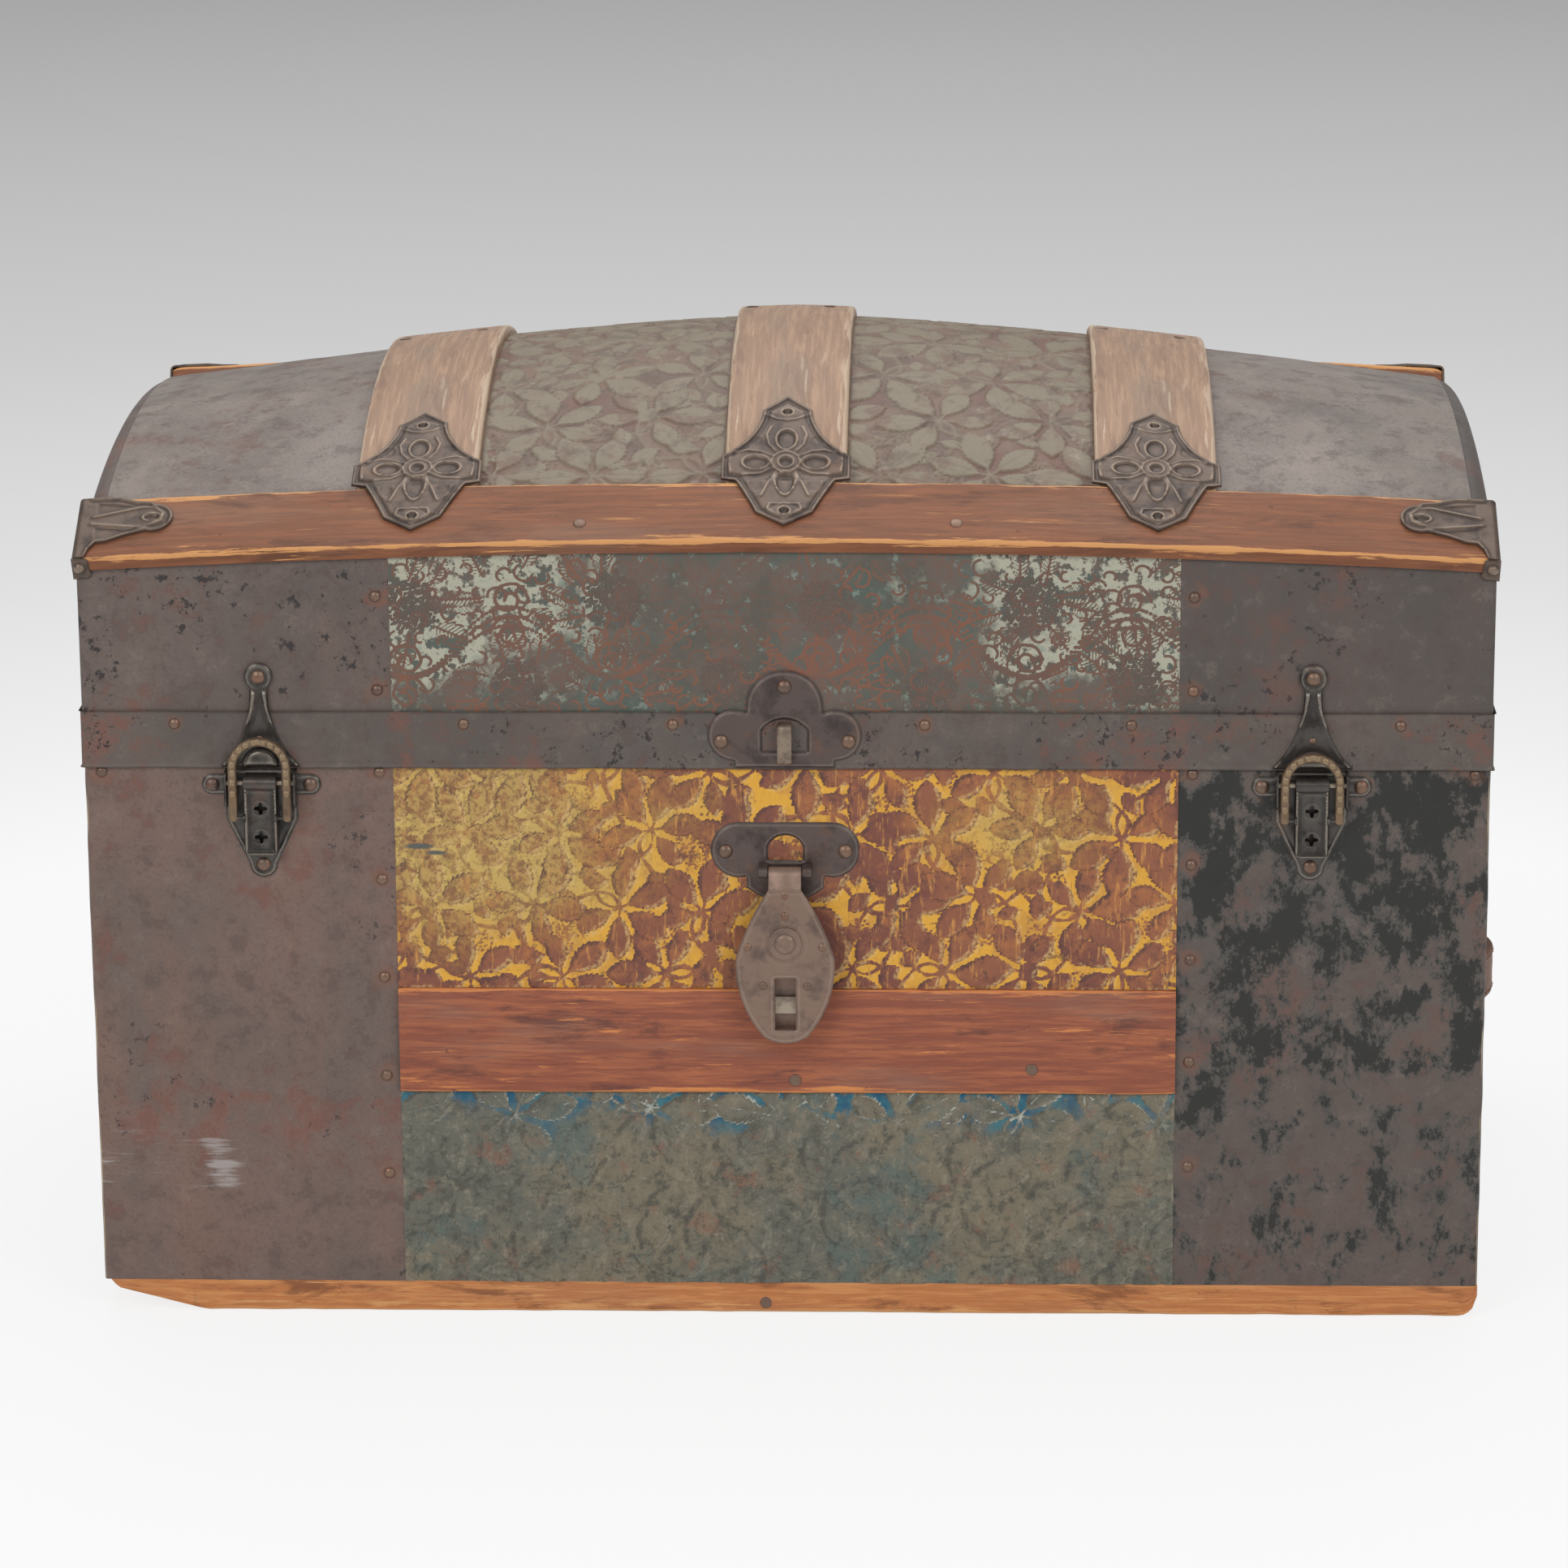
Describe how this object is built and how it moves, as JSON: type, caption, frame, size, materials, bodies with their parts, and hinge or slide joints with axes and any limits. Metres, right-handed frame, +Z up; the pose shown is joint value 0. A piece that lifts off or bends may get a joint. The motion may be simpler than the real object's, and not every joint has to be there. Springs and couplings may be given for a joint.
{
  "type": "dome top trunk",
  "caption": "Arched-lid travelling trunk of tin-clad boards with wooden rails, slats and skids, draw bolts, a hinged hasp lock and leather end handles.",
  "frame": {"origin": "on the floor under the middle of the case, on the middle skid's underside", "axes": "+X along the trunk to the right as seen from the front, +Y from the front with the lock to the rear with the hinges, +Z up"},
  "size_m": [0.856, 0.488, 0.552],
  "materials": {
    "box_wood": "raw softwood, lined with faded paper",
    "skid_wood": "worn orange-brown hardwood with dark blotches",
    "rail_wood": "red-brown varnish, worn to orange on the edges",
    "front_slat_wood": "red-brown varnish, worn to orange on the edges",
    "dome_slat_wood": "tan hardwood, worn and streaked",
    "plain_tin": "brown-grey paint over tin, rusted and scuffed",
    "yellow_embossed_tin": "embossed leaves in brown on a yellow ground, faded",
    "grey_embossed_tin": "embossed leaves on grey-green, with pale blue touches",
    "lid_embossed_tin": "embossed scrolls in teal and cream with brown lines",
    "dome_embossed_tin": "embossed leaves in olive grey on brown, with grey-mauve ends",
    "band_tin": "dark brown paint over tin, rusted",
    "stamped_steel": "dark grey-brown japanned steel, rubbed",
    "latch_steel": "dark steel with worn highlights and rust",
    "loop_steel": "rusted steel with tan patches",
    "bright_steel": "bare steel, dulled and spotted with rust",
    "tack_steel": "small domed heads, dark and rusted",
    "strap_leather": "dark brown strap leather, cracked"
  },
  "bodies": {
    "case": {"bottom_board": "box_wood", "front_board": "box_wood", "back_board": "box_wood", "left_end_board": "box_wood", "right_end_board": "box_wood", "bottom_sheet": "plain_tin", "front_skid": "skid_wood", "middle_skid": "skid_wood", "rear_skid": "skid_wood", "left_case_sheet": "plain_tin", "right_case_sheet": "plain_tin", "back_case_sheet": "plain_tin", "front_upper_panel": "yellow_embossed_tin", "front_lower_panel": "grey_embossed_tin", "front_slat": "front_slat_wood", "case_tacks": "tack_steel", "latch_bases": "latch_steel", "latch_pins": "bright_steel", "case_rivets": "tack_steel", "lock_lower_plate": "latch_steel", "handle_caps": "latch_steel", "left_handle": "strap_leather", "right_handle": "strap_leather", "hinge_case_leaves": "latch_steel", "hinge_pins": "bright_steel"},
    "lid": {"lid_front_board": "box_wood", "lid_back_board": "box_wood", "lid_left_board": "box_wood", "lid_right_board": "box_wood", "dome_staves": "box_wood", "left_lid_sheet": "plain_tin", "right_lid_sheet": "plain_tin", "lid_front_panel": "lid_embossed_tin", "lid_back_sheet": "plain_tin", "left_dome_sheet": "dome_embossed_tin", "centre_dome_sheet": "dome_embossed_tin", "right_dome_sheet": "dome_embossed_tin", "lid_band": "band_tin", "front_rail": "rail_wood", "rear_rail": "rail_wood", "left_dome_slat": "dome_slat_wood", "middle_dome_slat": "dome_slat_wood", "right_dome_slat": "dome_slat_wood", "slat_clamps": "stamped_steel", "corner_clamps": "stamped_steel", "lid_tacks": "tack_steel", "latch_strikes": "latch_steel", "lid_rivets": "tack_steel", "staple_plate": "latch_steel", "staple": "bright_steel", "hinge_lid_leaves": "latch_steel"},
    "left_lever": {"left_lever": "latch_steel"},
    "right_lever": {"right_lever": "latch_steel"},
    "left_loop": {"left_loop": "loop_steel"},
    "right_loop": {"right_loop": "loop_steel"},
    "hasp": {"hasp": "latch_steel", "lock_case": "latch_steel", "hasp_rivets": "tack_steel"},
    "lock_bolt": {"lock_bolt": "bright_steel"}
  },
  "joints": [
    {"name": "lid_hinge", "type": "hinge", "parent": "case", "child": "lid", "pos_m": [0, 0.234, 0.348], "axis": [-1, 0, 0], "range_deg": [0, 100]},
    {"name": "left_lever_hinge", "type": "hinge", "parent": "case", "child": "left_lever", "pos_m": [-0.301, -0.2359, 0.3245], "axis": [-1, 0, 0], "range_deg": [0, 150]},
    {"name": "left_loop_hinge", "type": "hinge", "parent": "left_lever", "child": "left_loop", "pos_m": [-0.301, -0.2397, 0.3045], "axis": [-1, 0, 0], "range_deg": [-150, 0]},
    {"name": "right_lever_hinge", "type": "hinge", "parent": "case", "child": "right_lever", "pos_m": [0.301, -0.2359, 0.3245], "axis": [-1, 0, 0], "range_deg": [0, 150]},
    {"name": "right_loop_hinge", "type": "hinge", "parent": "right_lever", "child": "right_loop", "pos_m": [0.301, -0.2397, 0.3045], "axis": [-1, 0, 0], "range_deg": [-150, 0]},
    {"name": "hasp_hinge", "type": "hinge", "parent": "case", "child": "hasp", "pos_m": [0, -0.2395, 0.273], "axis": [-1, 0, 0], "range_deg": [0, 180]},
    {"name": "lock_bolt_slide", "type": "slide", "parent": "hasp", "child": "lock_bolt", "axis": [1, 0, 0], "range_m": [0, 0.006]}
  ],
  "couplings": [
    {"joint": "left_loop_hinge", "follows": "left_lever_hinge", "ratio": -1},
    {"joint": "right_loop_hinge", "follows": "right_lever_hinge", "ratio": -1}
  ]
}
